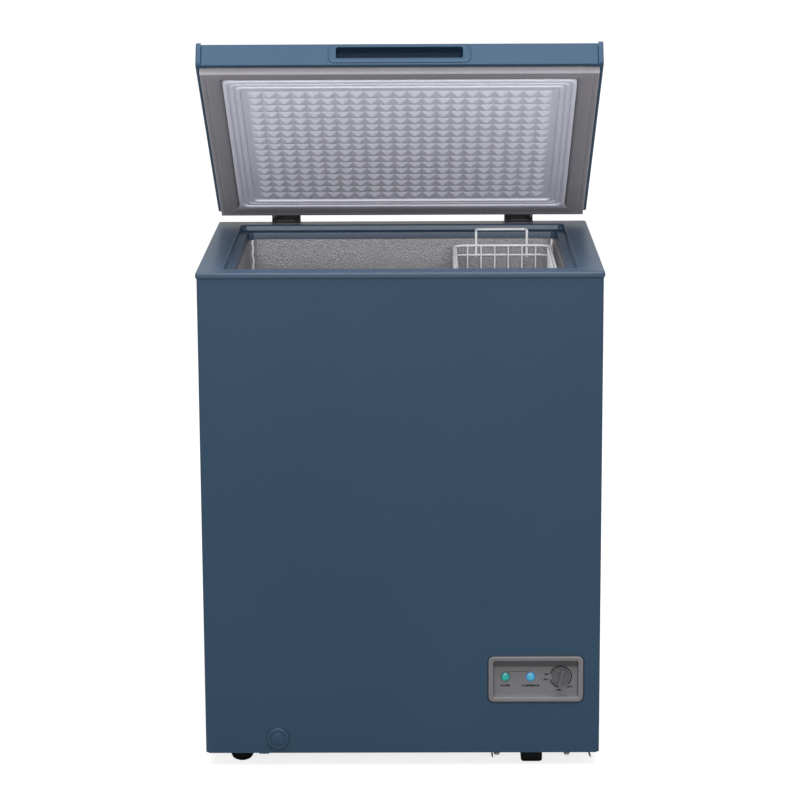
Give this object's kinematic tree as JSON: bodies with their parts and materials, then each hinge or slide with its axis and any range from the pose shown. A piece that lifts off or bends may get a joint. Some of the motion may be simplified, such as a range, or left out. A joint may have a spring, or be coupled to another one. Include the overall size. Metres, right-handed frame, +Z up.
{
  "type": "chest freezer",
  "caption": "Compact top-opening chest freezer: foamed steel cabinet, hinged insulated lid with gasket, sealed cooling circuit, front thermostat panel, drain and hanging basket.",
  "frame": {"origin": "middle of the freezer's footprint at rest (lid ajar) on the floor", "axes": "+X to the right seen from the front, +Y from the front to the hinges at the back, +Z up"},
  "size_m": [0.6302, 0.5612, 1.1394],
  "materials": {
    "cabinet_paint": "satin slate-blue powder coat",
    "lid_paint": "satin slate-blue powder coat, moulded parts colour-matched",
    "zinc_steel": "galvanised sheet and zinc-plated fasteners",
    "liner_aluminium": "stucco-embossed sheet",
    "foam": "rigid polyurethane foam",
    "copper": "drawn copper tube",
    "black_enamel": "semi-gloss black enamel",
    "rubber": "matt black rubber",
    "panel_grey": "fine-textured moulding",
    "knob_grey": "satin moulding",
    "gasket_grey": "soft extruded vinyl",
    "lid_liner_grey": "vacuum-formed sheet with a silvery satin skin",
    "white_coating": "white plastic and plastic coating",
    "green_lens": "translucent green lens",
    "blue_lens": "translucent blue lens"
  },
  "bodies": {
    "cabinet": {"back_panel": "zinc_steel", "bay_rear_cover": "zinc_steel", "bottom_panel": "zinc_steel", "capillary_tube": "copper", "compressor_base_plate": "zinc_steel", "compressor_bolt_1": "zinc_steel", "compressor_bolt_2": "zinc_steel", "compressor_bolt_3": "zinc_steel", "compressor_bolt_4": "zinc_steel", "compressor_bracket": "black_enamel", "compressor_grommet_1": "rubber", "compressor_grommet_2": "rubber", "compressor_grommet_3": "rubber", "compressor_grommet_4": "rubber", "compressor_lower_shell": "black_enamel", "compressor_upper_shell": "black_enamel", "condenser_tube": "zinc_steel", "control_bezel": "panel_grey", "cord_gland": "rubber", "discharge_line": "copper", "drain_tube": "white_coating", "drier_line": "copper", "evaporator_tube": "liner_aluminium", "filter_drier": "copper", "foam_insulation": "foam", "foot_left_front": "rubber", "foot_left_rear": "rubber", "foot_right_front": "rubber", "foot_right_rear": "rubber", "hinge_left_bracket": "black_enamel", "hinge_left_pin": "zinc_steel", "hinge_left_spring": "zinc_steel", "hinge_right_bracket": "black_enamel", "hinge_right_pin": "zinc_steel", "hinge_right_spring": "zinc_steel", "inner_liner": "liner_aluminium", "machine_bay_panel": "zinc_steel", "outer_wrap": "cabinet_paint", "power_lamp": "green_lens", "relay_box": "black_enamel", "rim_collar": "cabinet_paint", "run_lamp": "blue_lens", "side_vent_grille": "cabinet_paint", "suction_line": "copper", "thermostat_body": "black_enamel", "thermostat_sensor": "copper"},
    "lid": {"lid_outer_panel": "lid_paint", "lid_trim_left": "lid_paint", "lid_trim_right": "lid_paint", "lid_handle_insert": "lid_paint", "lid_foam": "foam", "lid_inner_liner": "lid_liner_grey", "lid_gasket": "gasket_grey", "hinge_left_leaf": "black_enamel", "hinge_right_leaf": "black_enamel"},
    "thermostat_knob_body": {"thermostat_knob": "knob_grey"},
    "drain_cap_body": {"drain_cap": "cabinet_paint"},
    "drain_plug_body": {"drain_plug": "white_coating"},
    "storage_basket_body": {"storage_basket": "white_coating"}
  },
  "joints": [
    {"name": "lid_hinge", "type": "hinge", "parent": "cabinet", "child": "lid", "pos_m": [0, 0.25165, 0.8123], "axis": [-1, 0, 0], "range_deg": [-34.1, 44]},
    {"name": "knob_turn", "type": "hinge", "parent": "cabinet", "child": "thermostat_knob_body", "pos_m": [0.2517, -0.26655, 0.1453], "axis": [0, 1, 0], "range_deg": [0, 280]},
    {"name": "drain_cap_pull", "type": "slide", "parent": "cabinet", "child": "drain_cap_body", "axis": [0, -1, 0], "range_m": [0, 0.03]},
    {"name": "drain_plug_lift", "type": "slide", "parent": "cabinet", "child": "drain_plug_body", "axis": [0, 0, 1], "range_m": [0, 0.025]},
    {"name": "basket_slide", "type": "slide", "parent": "cabinet", "child": "storage_basket_body", "axis": [-1, 0, 0], "range_m": [0, 0.33]}
  ]
}
